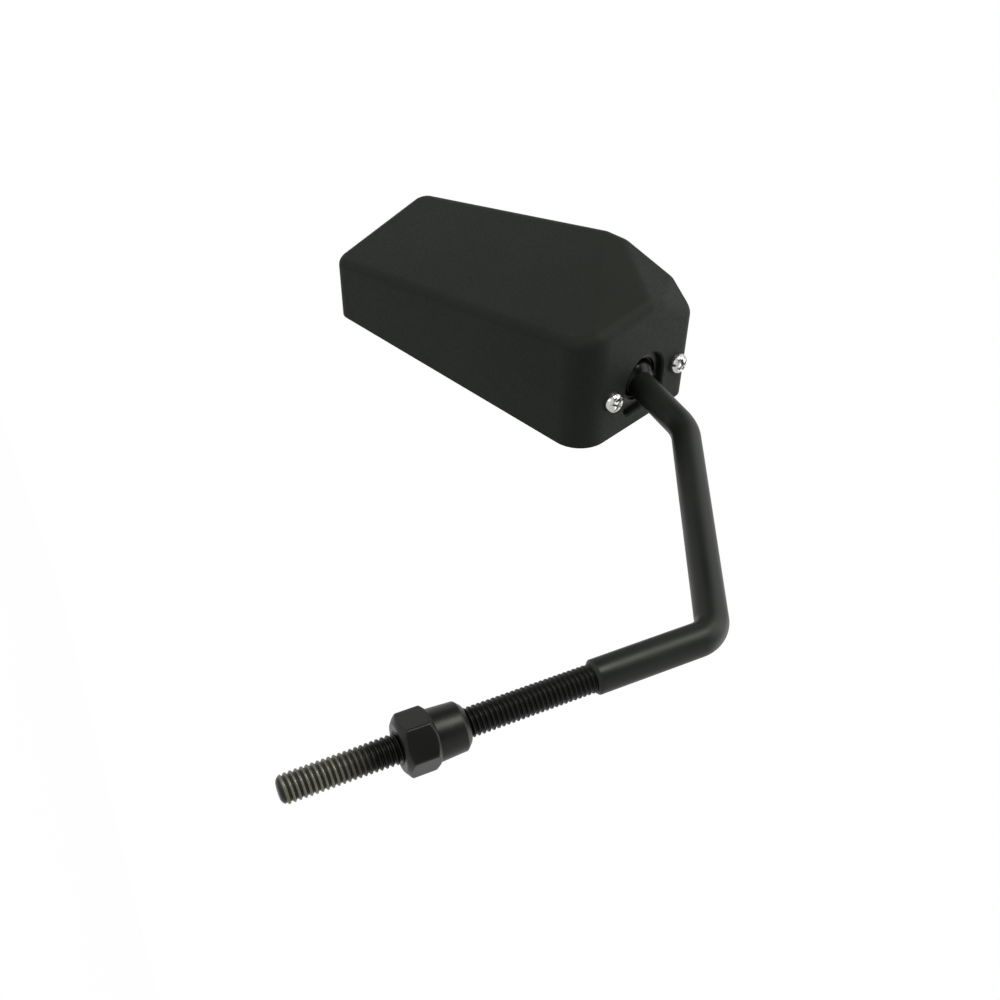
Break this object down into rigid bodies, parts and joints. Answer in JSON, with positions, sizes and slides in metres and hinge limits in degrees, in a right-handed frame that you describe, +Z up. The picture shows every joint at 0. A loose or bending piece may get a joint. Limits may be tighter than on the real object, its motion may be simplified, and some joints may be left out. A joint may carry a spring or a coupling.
{
  "type": "motorcycle mirror",
  "caption": "Motorcycle mirror: facetted plastic head with convex glass, clamped on a ball at the end of a bent steel stem with a threaded foot and a lock nut.",
  "frame": {"origin": "on the thread axis, at the face of the lock nut that seats on the clamp", "axes": "+Z up along the thread, from the tip to the rod; +X from the stem towards the head; the glass faces -Y, so +Y is the riding direction"},
  "size_m": [0.2498, 0.0591, 0.1914],
  "materials": {
    "housing": "moulded, fine grain",
    "mirror_glass": "silvered",
    "glass_backing": "moulded",
    "stem": "satin black, bare steel at the tip",
    "lock_nut": "black",
    "clamp_screws": "bright zinc",
    "socket_cups": "black",
    "swivel_ball": "turned, blackened",
    "clamp_plate_front": "pressed, black",
    "clamp_plate_rear": "pressed, black",
    "clamp_nuts": "zinc",
    "end_washer": "zinc",
    "end_screw": "zinc"
  },
  "bodies": {
    "stem": {"stem": "stem", "end_washer": "end_washer", "end_screw": "end_screw"},
    "lock_nut": {"lock_nut": "lock_nut"},
    "ball": {"swivel_ball": "swivel_ball"},
    "cups": {"socket_cups": "socket_cups"},
    "head": {"housing": "housing", "mirror_glass": "mirror_glass", "glass_backing": "glass_backing", "clamp_plate_front": "clamp_plate_front", "clamp_plate_rear": "clamp_plate_rear", "clamp_screws": "clamp_screws", "clamp_nuts": "clamp_nuts"}
  },
  "joints": [
    {"name": "nut_travel", "type": "slide", "parent": "stem", "child": "lock_nut", "axis": [0, 0, 1], "range_m": [-0.028, 0.037]},
    {"name": "head_twist", "type": "hinge", "parent": "stem", "child": "ball", "pos_m": [0.11428, 0, 0.13382], "axis": [0.9983, 0, -0.0576], "continuous": true},
    {"name": "head_droop", "type": "hinge", "parent": "ball", "child": "cups", "pos_m": [0.11428, 0, 0.13382], "axis": [0.0715, 0.9974, 0], "range_deg": [-36.5, 3.4]},
    {"name": "head_swing", "type": "hinge", "parent": "cups", "child": "head", "pos_m": [0.11428, 0, 0.13382], "axis": [0.3395, -0.0243, 0.9403], "range_deg": [-13, 22]}
  ]
}
